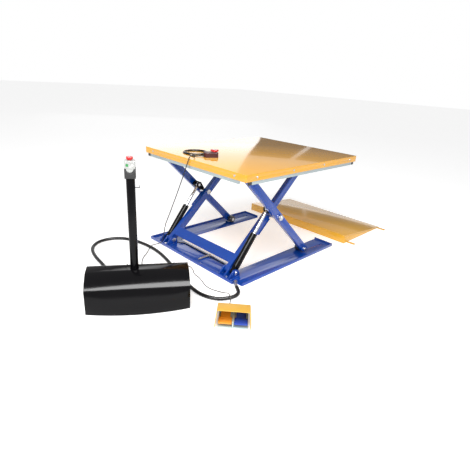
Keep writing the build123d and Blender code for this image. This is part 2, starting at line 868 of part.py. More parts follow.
pendant_radius = pendant_cable_diameter / 2
floor_points = [
    around(pack_plane, pendant_gland_u, pack_depth + gland_reach, 20),
    around(pack_plane, pendant_gland_u, pack_depth + gland_reach + 50, 20),
    (-1110, -108, pendant_radius),
    (-1074, -24, pendant_radius),
    (-1036, 58, pendant_radius),
    (-1004, 138, pendant_radius),
    (-962, 214, pendant_radius),
    (-908, 276, pendant_radius),
    (-846, 322, 5),
    (-802, 346, 30),
    (-776, 360, 41),
    (-748, 380, 37),
    (-710, 378, 35),
]
drop_points = [
    (-710, 378, 35),
    (-662.5, 375.5, 32.5),
    (-660, 350, 78),
    (-661, 334, 130),
    (-661, 322, 184),
    (-661, 304, 240),
    (-662, 276, 292),
    (-663, 240, 354),
    (-664, 198, 434),
    (-665, 151, 521),
    (-666, 104, 614),
    (-668, 58, 702),
    (-666, 24, 780),
    (-662, 6, 830),
]
lead_points = [
    (-662, 6, 830),
    (-660, -3, 855),
    (-650, -7, 878),
    (-622, -9, 882),
    (-598, 0, 866),
    (-583, 26, 858.5),
    (-580, 58, 858.5),
    (-572, 94, 858.5),
    (coil_x - coil_outer_x + 8, coil_y - 24, 860),
]
tail_points = [
    (coil_x - coil_outer_x * 0.72, coil_y - coil_outer_y * 0.62, 860),
    (-556, 62, 859),
    (-554, 34, 860),
    around(handset_plane, -handset_length / 2 - 30, 0, 10),
    around(handset_plane, -handset_length / 2, 0, 10),
]
pendant_cable_floor = tube(floor_points, pendant_radius, "pendant cable on the floor")
save(pendant_cable_floor, "pendant_cable_floor")
pendant_cable_drop = tube(drop_points, pendant_radius, "pendant cable drop")
save(pendant_cable_drop, "pendant_cable_drop")
pendant_cable_lead = tube(lead_points, pendant_radius, "pendant cable over the rim")
pendant_cable_tail = tube(tail_points, pendant_radius, "pendant cable tail")

with BuildPart() as coil_space:
    with BuildSketch(Plane.XY.offset(platform_top)):
        with Locations((coil_x, coil_y)):
            Ellipse(coil_outer_x, coil_outer_y)
            Ellipse(coil_outer_x - coil_band, coil_outer_y - coil_band, mode=Mode.SUBTRACT)
    extrude(amount=coil_height)
save(coil_space, "pendant_cable_coil")

with BuildPart() as pendant_leads:
    add(pendant_cable_lead.part)
    add(pendant_cable_tail.part)
    add(coil_space.part, mode=Mode.SUBTRACT)
save(pendant_leads, "pendant_cable_leads")

# ---------------------------------------------------------------- power pack
pack_half = pack_width / 2
with BuildPart() as pack_tray:
    with BuildSketch(pack_plane):
        with Locations((0, pack_depth / 2)):
            Rectangle(pack_width - 2 * tray_inset, pack_depth - tray_front_gap - tray_back_gap)
        with Locations((post_u, post_n)):
            Circle(post_bolt_radius, mode=Mode.SUBTRACT)
    extrude(amount=pack_tray_thickness)
save(pack_tray, "pack_tray")


def hood_form(inset, base_z):
    """The hood's outer or inner form: a curved side profile within a bowed plan."""
    with BuildPart() as form:
        with BuildSketch(side_of(pack_plane, -pack_half + inset)):
            top_z = pack_height - inset
            with BuildLine():
                Line((-pack_bulge + inset, base_z), (-pack_bulge + inset, hood_front_height))
                bend = ThreePointArc(
                    (-pack_bulge + inset, hood_front_height),
                    (hood_bend[0] + inset, hood_bend[1] - inset),
                    (hood_top_start, top_z),
                )
                Line(bend @ 1, (pack_depth - hood_back_radius, top_z))
                TangentArc(
                    (pack_depth - hood_back_radius, top_z),
                    (pack_depth - inset, top_z - hood_back_radius),
                    tangent=(1, 0),
                )
                Line((pack_depth - inset, top_z - hood_back_radius), (pack_depth - inset, base_z))
                Line((pack_depth - inset, base_z), (-pack_bulge + inset, base_z))
            make_face()
        extrude(amount=pack_width - 2 * inset)
        with BuildSketch(pack_plane):
            with BuildLine():
                ThreePointArc(
                    (-pack_half + inset, inset),
                    (0, -pack_bulge + inset),
                    (pack_half - inset, inset),
                )
                Line((pack_half - inset, inset), (pack_half - inset, pack_depth - inset))
                Line((pack_half - inset, pack_depth - inset), (-pack_half + inset, pack_depth - inset))
                Line((-pack_half + inset, pack_depth - inset), (-pack_half + inset, inset))
            make_face()
        extrude(amount=pack_height, mode=Mode.INTERSECT)
    return form.part


pedal_cable_radius = pedal_cable_diameter / 2
gland_rows = [
    (hose_gland_u, 26, hose_radius),
    (pendant_gland_u, 20, pendant_radius + 3),
    (pedal_gland_u, 20, pedal_cable_radius + 3),
]
hood_space = hood_form(hood_wall, 0)
with BuildPart() as pack_hood:
    add(hood_form(0, 1))
    add(hood_space, mode=Mode.SUBTRACT)
    with Locations(pack_plane.location * Location((post_u, post_n, pack_height - 10))):
        Cylinder(post_radius + 0.5, 30, mode=Mode.SUBTRACT)
    for u, z, radius in gland_rows:
        with Locations(side_of(pack_plane, u).location * Location((pack_depth, z, 0), (0, 90, 0))):
            Cylinder(radius + 1, 20, mode=Mode.SUBTRACT)
save(pack_hood, "pack_hood")

with BuildPart() as pack_glands:
    for u, z, radius in gland_rows:
        with Locations(side_of(pack_plane, u).location * Location((pack_depth - 9, z, 0), (0, 90, 0))):
            Cylinder(radius + 1, 9, align=(Align.CENTER, Align.CENTER, Align.MIN))
        with Locations(side_of(pack_plane, u).location * Location((pack_depth, z, 0), (0, 90, 0))):
            Cylinder(radius + 5, 6, align=(Align.CENTER, Align.CENTER, Align.MIN))
            Cylinder(radius + 2, gland_reach, align=(Align.CENTER, Align.CENTER, Align.MIN))
save(pack_glands, "pack_glands")

tray_top = pack_plane.offset(pack_tray_thickness)
with BuildPart() as oil_tank:
    with BuildSketch(tray_top):
        with Locations((-187, 112)):
            RectangleRounded(246, 150, 14)
    extrude(amount=150)
    fillet(oil_tank.faces().sort_by(Axis.Z)[-1].edges(), 8)
save(oil_tank, "oil_tank")

with BuildPart() as filler_cap:
    with BuildSketch(tray_top.offset(150)):
        with Locations((-250, 110)):
            RegularPolygon(20, 8)
    extrude(amount=16)
save(filler_cap, "filler_cap")

with BuildPart() as valve_block:
    with BuildSketch(tray_top):
        with Locations((-14, 80)):
            Rectangle(92, 84)
    extrude(amount=96)
save(valve_block, "valve_block")

with BuildPart() as lowering_solenoid:
    with BuildSketch(tray_top.offset(96)):
        with Locations((-30, 84)):
            Circle(18)
    extrude(amount=52)
    with BuildSketch(tray_top.offset(148)):
        with Locations((-30, 84)):
            RegularPolygon(9, 6)
    extrude(amount=8)
save(lowering_solenoid, "lowering_solenoid")

motor_plane = side_of(pack_plane, 33)
with BuildPart() as pump_motor:
    with BuildSketch(motor_plane):
        with Locations((116, 68)):
            Circle(58)
    extrude(amount=190)
    with BuildSketch(motor_plane.offset(190)):
        with Locations((116, 68)):
            Circle(50)
    extrude(amount=22)
    with BuildSketch(motor_plane.offset(40)):
        with Locations((116, 16)):
            Rectangle(70, 24)
    extrude(amount=110)
save(pump_motor, "pump_motor")

with BuildPart() as electrics_box:
    with BuildSketch(tray_top.offset(128)):
        with Locations((140, 136)):
            RectangleRounded(170, 96, 5)
    extrude(amount=70)
    with BuildSketch(tray_top):
        with Locations((70, 198), (210, 198)):
            Rectangle(24, 6)
    extrude(amount=150)
    with BuildSketch(tray_top.offset(128)):
        with Locations((140, 190)):
            Rectangle(164, 20)
    extrude(amount=22)
save(electrics_box, "electrics_box")

# ---------------------------------------------------------------- control post
post_place = pack_plane.from_local_coords((post_u, post_n, 0))
post_plane = Plane(origin=post_place, x_dir=pack_plane.x_dir, z_dir=(0, 0, 1))
with BuildPart() as control_post:
    with BuildSketch(post_plane.offset(pack_tray_thickness)):
        Circle(post_radius)
        Circle(post_radius - post_wall, mode=Mode.SUBTRACT)
    extrude(amount=post_top - pack_tray_thickness)
    with BuildSketch(post_plane.offset(pack_tray_thickness)):
        Circle(post_radius)
        Circle(post_bolt_radius, mode=Mode.SUBTRACT)
    extrude(amount=post_foot)
    hook_start = post_radius - 1
    with Locations(post_plane.location * Location((hook_start + hook_reach / 2, 0, hook_z))):
        Box(hook_reach, hook_width, hook_thickness)
    lip_place = (hook_start + hook_reach - hook_thickness / 2, 0, hook_z - hook_thickness / 2)
    with Locations(post_plane.location * Location(lip_place)):
        Box(hook_thickness, hook_width, hook_lip, align=(Align.CENTER, Align.CENTER, Align.MIN))
save(control_post, "control_post")

holder_bottom = post_plane.offset(post_top)
with BuildPart() as post_holder:
    with BuildSketch(holder_bottom):
        RectangleRounded(holder_width, holder_width - holder_corner, holder_corner)
    extrude(amount=holder_height)
    with BuildSketch(holder_bottom.offset(holder_floor)):
        RectangleRounded(box_width + 2 * holder_gap, box_width - holder_corner + 2 * holder_gap, 4)
    extrude(amount=holder_height - holder_floor, mode=Mode.SUBTRACT)
    with Locations(holder_bottom.location * Location((0, -holder_width / 2, holder_height), (90, 0, 0))):
        Cylinder(holder_arch_radius, holder_width / 3, mode=Mode.SUBTRACT)
save(post_holder, "post_holder")

box_top = post_top + 6 + 46 + box_height
stop_hole_depth = 16
with BuildPart() as control_box:
    with BuildSketch(holder_bottom.offset(6)):
        RectangleRounded(box_width, box_width - 6, 4)
    extrude(amount=box_top - post_top - 6)
    fillet(control_box.faces().sort_by(Axis.Z)[-1].edges(), 3)
    with BuildSketch(post_plane.offset(box_top)):
        Circle(12 + running_gap)
    extrude(amount=-stop_hole_depth, mode=Mode.SUBTRACT)
    with Locations(post_plane.location):
        with Locations((-15, -(box_width - 6) / 2, box_top - 26), (15, -(box_width - 6) / 2, box_top - 26)):
            Cylinder(key_radius + running_gap, 16, rotation=(90, 0, 0), mode=Mode.SUBTRACT)
save(control_box, "control_box")

with BuildPart() as control_stop:
    with BuildSketch(post_plane.offset(box_top - stop_hole_depth + stop_travel + 2)):
        Circle(12)
    extrude(amount=stop_hole_depth - stop_travel + 6)
    with BuildSketch(post_plane.offset(box_top + stop_travel + 2)):
        Circle(stop_radius)
    extrude(amount=16)
    fillet(control_stop.edges().filter_by(GeomType.CIRCLE).sort_by(Axis.Z)[-1], 5)
save(control_stop, "control_stop")

for name, u in (("raise_key", -15), ("lower_key", 15)):
    with BuildPart() as key:
        with Locations(post_plane.location * Location((u, -(box_width - 6) / 2, box_top - 26), (90, 0, 0))):
            Cylinder(key_radius, 4, align=(Align.CENTER, Align.CENTER, Align.MAX))
            Cylinder(key_radius, key_travel, align=(Align.CENTER, Align.CENTER, Align.MIN))
    save(key, name)

loop_points = [
    around(pack_plane, -214, 192, pack_height),
    around(pack_plane, -214, 192, pack_height + 20),
    around(pack_plane, -184, 196, pack_height + 34),
    around(pack_plane, -142, 198, pack_height + 38),
    around(pack_plane, -98, 196, pack_height + 32),
    around(pack_plane, -72, 192, pack_height + 18),
    around(pack_plane, -72, 192, pack_height),
]
control_cable = tube(loop_points, loop_cable_diameter / 2, "control cable")
save(control_cable, "control_cable")

# ---------------------------------------------------------------- foot switch
treadle_z = 28
treadle_hinge_n = 162
treadle_pin_radius = 4
pedal_half = pedal_width / 2
with BuildPart() as pedal_base:
    with BuildSketch(pedal_plane):
        with Locations((0, pedal_depth / 2 + 1)):
            RectangleRounded(pedal_width - 12, pedal_depth - 10, 5)
    extrude(amount=8)
    with BuildSketch(pedal_plane.offset(8)):
        with Locations((0, 44)):
            RectangleRounded(10, 76, 4)
        for u in (-pedal_half + 10, 0, pedal_half - 10):
            with Locations((u, treadle_hinge_n)):
                Rectangle(6, 16)
    extrude(amount=34)
    pin_place = side_of(pedal_plane, -pedal_half + 8).location
    with Locations(pin_place * Location((treadle_hinge_n, treadle_z + 5, 0))):
        Cylinder(treadle_pin_radius, pedal_width - 16, align=(Align.CENTER, Align.CENTER, Align.MIN))
    with Locations(side_of(pedal_plane, -40).location * Location((pedal_depth - 9, 12, 0), (0, 90, 0))):
        Cylinder(pedal_cable_radius + 3, 23, align=(Align.CENTER, Align.CENTER, Align.MIN))
save(pedal_base, "pedal_base")


def guard_form(inset):
    """The guard's outer or inner form: a hooded side profile within splayed walls."""
    with BuildPart() as form:
        with BuildSketch(side_of(pedal_plane, -pedal_width)):
            with BuildLine():
                Polyline(
                    (-inset, 0),
                    (-inset, guard_height - inset),
                    (126, guard_back_height - inset),
                    (pedal_depth - inset, 34),
                    (pedal_depth - inset, 0),
                    close=True,
                )
            make_face()
        extrude(amount=2 * pedal_width)
        front_origin = pedal_plane.from_local_coords((0, -inset, 0))
        with BuildSketch(Plane(origin=front_origin, x_dir=pedal_plane.x_dir, z_dir=-pedal_plane.y_dir)):
            with BuildLine():
                Polyline(
                    (-pedal_half - 14 + inset, 0),
                    (-pedal_half + inset, guard_height),
                    (pedal_half - inset, guard_height),
                    (pedal_half + 14 - inset, 0),
                    close=True,
                )
            make_face()
        extrude(amount=-pedal_depth, mode=Mode.INTERSECT)
    return form.part


with BuildPart() as pedal_guard:
    add(guard_form(0))
    add(guard_form(guard_wall), mode=Mode.SUBTRACT)
    with Locations(side_of(pedal_plane, -40).location * Location((pedal_depth, 12, 0), (0, 90, 0))):
        Cylinder(pedal_cable_radius + 3, 40, mode=Mode.SUBTRACT)
save(pedal_guard, "pedal_guard")

for name, middle in (("raise_treadle", -pedal_half / 2 + 1), ("lower_treadle", pedal_half / 2 - 1)):
    with BuildPart() as treadle:
        with BuildSketch(pedal_plane.offset(treadle_z)):
            with Locations((middle, 38)):
                RectangleRounded(treadle_width, 64, 4)
            with Locations((middle, 108)):
                Rectangle(treadle_width - 22, 100)
        extrude(amount=treadle_thickness)
        hinge_place = side_of(pedal_plane, middle - treadle_width / 2 + 11).location
        with Locations(hinge_place * Location((treadle_hinge_n, treadle_z + 5, 0))):
            Cylinder(8, treadle_width - 22, align=(Align.CENTER, Align.CENTER, Align.MIN))
        with Locations(side_of(pedal_plane, middle).location * Location((treadle_hinge_n, treadle_z + 5, 0))):
            Cylinder(treadle_pin_radius + running_gap, pedal_width, mode=Mode.SUBTRACT)
    save(treadle, name)

# ---------------------------------------------------------------- handset
with BuildPart() as handset:
    with BuildSketch(handset_plane):
        RectangleRounded(handset_length, handset_width, 14)
    extrude(amount=handset_height)
    fillet(handset.faces().sort_by(Axis.Z)[-1].edges(), 6)
    with BuildSketch(handset_plane.offset(handset_height)):
        with Locations((handset_length / 2 - handset_stop_radius + 4, 0)):
            Circle(16 + running_gap)
    extrude(amount=-stop_hole_depth, mode=Mode.SUBTRACT)
save(handset, "handset")

with BuildPart() as handset_stop:
    with BuildSketch(handset_plane.offset(handset_height - stop_hole_depth + stop_travel + 2)):
        with Locations((handset_length / 2 - handset_stop_radius + 4, 0)):
            Circle(16)
    extrude(amount=stop_hole_depth - stop_travel + 6)
    with BuildSketch(handset_plane.offset(handset_height + stop_travel + 2)):
        with Locations((handset_length / 2 - handset_stop_radius + 4, 0)):
            Circle(handset_stop_radius)
    extrude(amount=14)
    fillet(handset_stop.edges().filter_by(GeomType.CIRCLE).sort_by(Axis.Z)[-1], 5)
save(handset_stop, "handset_stop")
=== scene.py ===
import bpy
import bmesh
import json
import math
from mathutils import Matrix, Vector


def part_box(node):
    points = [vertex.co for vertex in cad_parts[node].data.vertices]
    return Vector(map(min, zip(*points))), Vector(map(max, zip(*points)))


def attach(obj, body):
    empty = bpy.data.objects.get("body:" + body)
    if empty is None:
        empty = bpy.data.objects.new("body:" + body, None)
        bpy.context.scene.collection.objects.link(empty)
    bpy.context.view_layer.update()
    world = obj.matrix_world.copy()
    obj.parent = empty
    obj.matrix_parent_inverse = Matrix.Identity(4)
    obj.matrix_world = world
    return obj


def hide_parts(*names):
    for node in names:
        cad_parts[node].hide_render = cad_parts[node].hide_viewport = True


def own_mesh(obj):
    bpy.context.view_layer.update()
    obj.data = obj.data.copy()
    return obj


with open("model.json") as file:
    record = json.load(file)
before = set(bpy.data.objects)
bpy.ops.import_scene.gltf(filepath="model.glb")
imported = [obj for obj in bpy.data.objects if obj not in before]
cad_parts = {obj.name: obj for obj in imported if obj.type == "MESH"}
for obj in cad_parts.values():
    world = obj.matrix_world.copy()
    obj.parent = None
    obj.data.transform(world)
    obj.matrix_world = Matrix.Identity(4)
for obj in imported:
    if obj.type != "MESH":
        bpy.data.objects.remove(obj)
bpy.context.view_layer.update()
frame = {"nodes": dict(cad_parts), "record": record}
nodes = frame["nodes"]
print("frame loaded")

# camera: its place, the way it faces, its roll in degrees and its lens
view = {
    "place": (-2.436, -2.267, 1.435),
    "towards": (0.6628, 0.6452, -0.3800),
    "roll": 3.641,
    "lens": 29.15,
}


def addCamera(v):
    towards = Vector(v["towards"]).normalized()
    right = towards.cross(Vector((0, 0, 1))).normalized()
    up = right.cross(towards)
    turn = math.radians(v["roll"])
    rightTurned = right * math.cos(turn) + up * math.sin(turn)
    upTurned = up * math.cos(turn) - right * math.sin(turn)
    data = bpy.data.cameras.new("camera")
    data.lens = v["lens"]
    data.sensor_width = 36
    cam = bpy.data.objects.new("camera", data)
    bpy.context.collection.objects.link(cam)
    axes = Matrix((rightTurned, upTurned, -towards)).transposed()
    cam.matrix_world = Matrix.Translation(v["place"]) @ axes.to_4x4()
    bpy.context.scene.camera = cam


addCamera(view)
print("camera placed")

# shared shader groups
def newGroup(name, inputs, outputs):
    tree = bpy.data.node_groups.new(name, "ShaderNodeTree")
    for label, kind, value in inputs:
        socket = tree.interface.new_socket(label, in_out="INPUT", socket_type="NodeSocket" + kind)
        if value is not None:
            socket.default_value = value
    for label, kind in outputs:
        tree.interface.new_socket(label, in_out="OUTPUT", socket_type="NodeSocket" + kind)
    return tree, tree.nodes.new("NodeGroupInput"), tree.nodes.new("NodeGroupOutput")


def addNode(tree, kind, **settings):
    node = tree.nodes.new("ShaderNode" + kind)
    for key, value in settings.items():
        setattr(node, key, value)
    return node


def makeGrainGroup():
    # cloudy colour change, fine surface grain and a little roughness change
    tree, given, out = newGroup(
        "surfaceGrain",
        [("Vector", "Vector", None), ("Color", "Color", (0.5, 0.5, 0.5, 1)),
         ("Shade", "Color", (0.3, 0.3, 0.3, 1)), ("Cloud Scale", "Float", 4.0),
         ("Cloud Amount", "Float", 0.3), ("Grain Scale", "Float", 300.0),
         ("Grain Depth", "Float", 0.05), ("Roughness", "Float", 0.3),
         ("Roughness Spread", "Float", 0.1)],
        [("Color", "Color"), ("Roughness", "Float"), ("Normal", "Vector")])
    link = tree.links.new
    cloud = addNode(tree, "TexNoise")
    cloud.inputs["Detail"].default_value = 4
    link(given.outputs["Vector"], cloud.inputs["Vector"])
    link(given.outputs["Cloud Scale"], cloud.inputs["Scale"])
    amount = addNode(tree, "Math", operation="MULTIPLY")
    link(cloud.outputs["Fac"], amount.inputs[0])
    link(given.outputs["Cloud Amount"], amount.inputs[1])
    mix = addNode(tree, "Mix", data_type="RGBA")
    link(amount.outputs[0], mix.inputs["Factor"])
    link(given.outputs["Color"], mix.inputs["A"])
    link(given.outputs["Shade"], mix.inputs["B"])
    link(mix.outputs["Result"], out.inputs["Color"])
    grain = addNode(tree, "TexNoise")
    grain.inputs["Detail"].default_value = 2
    link(given.outputs["Vector"], grain.inputs["Vector"])
    link(given.outputs["Grain Scale"], grain.inputs["Scale"])
    spread = addNode(tree, "Math", operation="MULTIPLY_ADD")
    link(cloud.outputs["Fac"], spread.inputs[0])
    link(given.outputs["Roughness Spread"], spread.inputs[1])
    link(given.outputs["Roughness"], spread.inputs[2])
    link(spread.outputs[0], out.inputs["Roughness"])
    bump = addNode(tree, "Bump")
    bump.inputs["Distance"].default_value = 0.002
    link(given.outputs["Grain Depth"], bump.inputs["Strength"])
    link(grain.outputs["Fac"], bump.inputs["Height"])
    link(bump.outputs["Normal"], out.inputs["Normal"])
    return tree


def makeScuffGroup():
    # long fine rubs that lighten a paint and take off its gloss
    tree, given, out = newGroup(
        "handlingScuffs",
        [("Vector", "Vector", None), ("Color", "Color", (0.5, 0.5, 0.5, 1)),
         ("Roughness", "Float", 0.3), ("Rub Color", "Color", (0.7, 0.7, 0.7, 1)),
         ("Amount", "Float", 0.3)],
        [("Color", "Color"), ("Roughness", "Float")])
    link = tree.links.new
    stretch = addNode(tree, "Mapping")
    stretch.inputs["Scale"].default_value = (1.5, 26, 9)
    stretch.inputs["Rotation"].default_value = (0, 0, 0.35)
    link(given.outputs["Vector"], stretch.inputs["Vector"])
    rub = addNode(tree, "TexNoise")
    rub.inputs["Scale"].default_value = 5
    rub.inputs["Detail"].default_value = 6
    link(stretch.outputs["Vector"], rub.inputs["Vector"])
    ramp = addNode(tree, "ValToRGB")
    ramp.color_ramp.elements[0].position = 0.66
    ramp.color_ramp.elements[1].position = 0.74
    link(rub.outputs["Fac"], ramp.inputs["Fac"])
    mask = addNode(tree, "Math", operation="MULTIPLY")
    link(ramp.outputs["Color"], mask.inputs[0])
    link(given.outputs["Amount"], mask.inputs[1])
    mix = addNode(tree, "Mix", data_type="RGBA")
    link(mask.outputs[0], mix.inputs["Factor"])
    link(given.outputs["Color"], mix.inputs["A"])
    link(given.outputs["Rub Color"], mix.inputs["B"])
    link(mix.outputs["Result"], out.inputs["Color"])
    dull = addNode(tree, "Math", operation="MULTIPLY_ADD")
    dull.inputs[1].default_value = 0.3
    link(mask.outputs[0], dull.inputs[0])
    link(given.outputs["Roughness"], dull.inputs[2])
    link(dull.outputs[0], out.inputs["Roughness"])
    return tree


grainGroup = makeGrainGroup()
scuffGroup = makeScuffGroup()

# one entry per finish: colours, roughness, metal, clear coat, specular, grain size and depth, rubs
finishes = {
    "blue_paint": dict(color=(0.002, 0.058, 0.37), shade=(0.001, 0.034, 0.25), rough=0.20, coat=0.3, spec=0.4,
                       grain=140, depth=0.10, rubs=0.22, rub=(0.10, 0.18, 0.50)),
    "yellow_paint": dict(color=(0.76, 0.37, 0.016), shade=(0.68, 0.31, 0.012), rough=0.12, coat=0.6,
                         grain=90, depth=0.03, rubs=0.05, rub=(0.85, 0.60, 0.20)),
    "ramp_paint": dict(color=(0.78, 0.42, 0.03), shade=(0.70, 0.34, 0.02), rough=0.2, coat=0.5,
                       grain=90, depth=0.05, rubs=0.20, rub=(0.88, 0.66, 0.26)),
    "black_paint": dict(color=(0.002, 0.002, 0.0025), shade=(0.004, 0.0035, 0.0045), rough=0.09, spec=0.16,
                        grain=120, depth=0.03, rubs=0.05, rub=(0.05, 0.05, 0.05)),
    "grey_paint": dict(color=(0.30, 0.31, 0.32), shade=(0.2, 0.2, 0.21), rough=0.4, grain=300, depth=0.1),
    "bar_aluminium": dict(color=(0.46, 0.52, 0.53), shade=(0.34, 0.40, 0.41), rough=0.34, metal=0.9,
                          grain=420, depth=0.12, rubs=0.25, rub=(0.7, 0.74, 0.74)),
    "steel": dict(color=(0.66, 0.66, 0.67), shade=(0.48, 0.48, 0.50), rough=0.26, metal=1,
                  grain=500, depth=0.12, rubs=0.2, rub=(0.8, 0.8, 0.8)),
    # the rollers' steel is painted dark: painted shade for their place on the arms' shaded inner sides; the
    # pale rubs are wear
    "roller_steel": dict(color=(0.10, 0.105, 0.11), shade=(0.05, 0.05, 0.055), rough=0.32, metal=0.9,
                         grain=380, depth=0.15, rubs=0.35, rub=(0.4, 0.4, 0.4)),
    "chrome_rod": dict(color=(0.58, 0.59, 0.60), shade=(0.48, 0.49, 0.51), rough=0.10, metal=1,
                       grain=600, depth=0.02),
    "black_plastic": dict(color=(0.012, 0.012, 0.013), shade=(0.025, 0.025, 0.025), rough=0.42,
                          grain=900, depth=0.25, rubs=0.12, rub=(0.06, 0.06, 0.06)),
    "black_rubber": dict(color=(0.013, 0.013, 0.013), shade=(0.03, 0.029, 0.028), rough=0.55,
                         grain=700, depth=0.3),
    "black_cable": dict(color=(0.004, 0.004, 0.0045), shade=(0.009, 0.009, 0.010), rough=0.24, spec=0.4,
                        grain=800, depth=0.12),
    "grey_cable": dict(color=(0.060, 0.050, 0.044), shade=(0.03, 0.026, 0.024), rough=0.42,
                       grain=800, depth=0.12),
    "box_grey": dict(color=(0.46, 0.47, 0.45), shade=(0.38, 0.39, 0.38), rough=0.36, grain=900, depth=0.15),
    "stop_red": dict(color=(0.62, 0.012, 0.014), shade=(0.45, 0.008, 0.010), rough=0.2, coat=0.4,
                     grain=600, depth=0.05),
    "handset_red": dict(color=(0.070, 0.004, 0.006), shade=(0.03, 0.003, 0.004), rough=0.34,
                        grain=900, depth=0.15),
    "key_green": dict(color=(0.03, 0.30, 0.07), shade=(0.02, 0.2, 0.05), rough=0.3, grain=700, depth=0.1),
    "key_white": dict(color=(0.62, 0.62, 0.60), shade=(0.5, 0.5, 0.48), rough=0.3, grain=700, depth=0.1),
    "guard_yellow": dict(color=(0.74, 0.43, 0.06), shade=(0.66, 0.34, 0.03), rough=0.36,
                         grain=700, depth=0.2, rubs=0.15, rub=(0.9, 0.72, 0.3)),
    "treadle_orange": dict(color=(0.72, 0.30, 0.02), shade=(0.62, 0.24, 0.02), rough=0.4,
                           grain=600, depth=0.25),
    "treadle_blue": dict(color=(0.012, 0.06, 0.42), shade=(0.008, 0.04, 0.3), rough=0.4,
                         grain=600, depth=0.25),
    "base_grey": dict(color=(0.46, 0.56, 0.56), shade=(0.38, 0.47, 0.47), rough=0.4, grain=700, depth=0.2),
    "tank_plastic": dict(color=(0.50, 0.50, 0.44), shade=(0.42, 0.42, 0.38), rough=0.5, grain=500, depth=0.2),
    "brass_fitting": dict(color=(0.62, 0.44, 0.16), shade=(0.5, 0.34, 0.12), rough=0.25, metal=1, grain=500,
                          depth=0.1),
    "cast_block": dict(color=(0.50, 0.50, 0.51), shade=(0.36, 0.36, 0.37), rough=0.45, metal=0.9,
                       grain=350, depth=0.3),
    "motor_grey": dict(color=(0.18, 0.20, 0.22), shade=(0.12, 0.13, 0.15), rough=0.4, grain=300, depth=0.15),
}


def makeFinish(name, f):
    mat = bpy.data.materials.new(name)
    mat.use_nodes = True
    tree = mat.node_tree
    link = tree.links.new
    shader = tree.nodes["Principled BSDF"]
    shader.inputs["Metallic"].default_value = f.get("metal", 0)
    shader.inputs["Coat Weight"].default_value = f.get("coat", 0)
    shader.inputs["Coat Roughness"].default_value = 0.05
    shader.inputs["Specular IOR Level"].default_value = f.get("spec", 0.5)
    coords = addNode(tree, "TexCoord")
    grain = addNode(tree, "Group", node_tree=grainGroup)
    link(coords.outputs["Object"], grain.inputs["Vector"])
    grain.inputs["Color"].default_value = (*f["color"], 1)
    grain.inputs["Shade"].default_value = (*f["shade"], 1)
    grain.inputs["Cloud Amount"].default_value = 0.8
    grain.inputs["Grain Scale"].default_value = f["grain"]
    grain.inputs["Grain Depth"].default_value = f["depth"]
    grain.inputs["Roughness"].default_value = f["rough"]
    grain.inputs["Roughness Spread"].default_value = 0.08
    link(grain.outputs["Normal"], shader.inputs["Normal"])
    last = grain
    if f.get("rubs"):
        scuffs = addNode(tree, "Group", node_tree=scuffGroup)
        link(coords.outputs["Object"], scuffs.inputs["Vector"])
        link(grain.outputs["Color"], scuffs.inputs["Color"])
        link(grain.outputs["Roughness"], scuffs.inputs["Roughness"])
        scuffs.inputs["Rub Color"].default_value = (*f["rub"], 1)
        scuffs.inputs["Amount"].default_value = f["rubs"]
        last = scuffs
    link(last.outputs["Color"], shader.inputs["Base Color"])
    link(last.outputs["Roughness"], shader.inputs["Roughness"])
    return mat


mats = {name: makeFinish(name, f) for name, f in finishes.items()}
slotOf = {s["node"]: s["material_slot"] for s in frame["record"]["subparts"]}
bodyOf = {node: body for body, held in frame["record"]["behaviour"]["bodies"].items() for node in held}
for nodeName, obj in nodes.items():
    obj.data.materials.clear()
    obj.data.materials.append(mats[slotOf[nodeName]])
print("finishes made:", len(mats))


def finishPiece(name, data, finish, body, stands=()):
    piece = bpy.data.objects.new(name, data)
    bpy.context.collection.objects.link(piece)
    data.materials.append(mats[finish])
    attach(piece, body)
    if stands:
        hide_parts(*stands)
    return piece


def meshOf(name, bm):
    mesh = bpy.data.meshes.new(name)
    bm.to_mesh(mesh)
    bm.free()
    return mesh


def pieceFromMesh(name, bm, finish, body, stands=(), smooth=40):
    mesh = meshOf(name, bm)
    mesh.shade_smooth()
    mesh.set_sharp_from_angle(angle=math.radians(smooth))
    return finishPiece(name, mesh, finish, body, stands)


# cords: the same points as the routes in the CAD, in metres
packPlace = {"at": (-1.354, -0.3915), "turn": -32.4, "depth": 0.220}
pedalPlace = {"at": (-1.017, -0.9155), "turn": -46.9}
handsetPlace = {"at": (-0.456, -0.022), "turn": -26.6, "base": 0.855}
cordRadii = {"hose": 0.0124, "footSwitch": 0.003, "handset": 0.0035, "control": 0.002}


def around(place, u, n, z=0.0):
    turn = math.radians(place["turn"])
    x = place["at"][0] + u * math.cos(turn) - n * math.sin(turn)
    y = place["at"][1] + u * math.sin(turn) + n * math.cos(turn)
    return (x, y, place.get("base", 0) + z)


glandReach = packPlace["depth"] + 0.018
unionEnd = (-0.650, -0.578, 0.014)
unionTurn = math.radians(60)
unionReach = 0.066
hoseRoute = [
    around(packPlace, -0.170, glandReach, 0.026),
    around(packPlace, -0.170, glandReach + 0.075, 0.026),
    (-1.290, 0.110, 0.014), (-1.240, 0.300, 0.014), (-1.220, 0.520, 0.014), (-1.165, 0.690, 0.014),
    (-1.040, 0.785, 0.014), (-0.868, 0.745, 0.014), (-0.778, 0.570, 0.014), (-0.752, 0.330, 0.014),
    (-0.792, 0.090, 0.014), (-0.865, -0.140, 0.014), (-0.915, -0.350, 0.014), (-0.928, -0.500, 0.014),
    (-0.880, -0.610, 0.014), (-0.816, -0.651, 0.014), (-0.758, -0.666, 0.014), (-0.717, -0.659, 0.014),
    (unionEnd[0] - unionReach * math.cos(unionTurn), unionEnd[1] - unionReach * math.sin(unionTurn), 0.014),
    unionEnd,
]
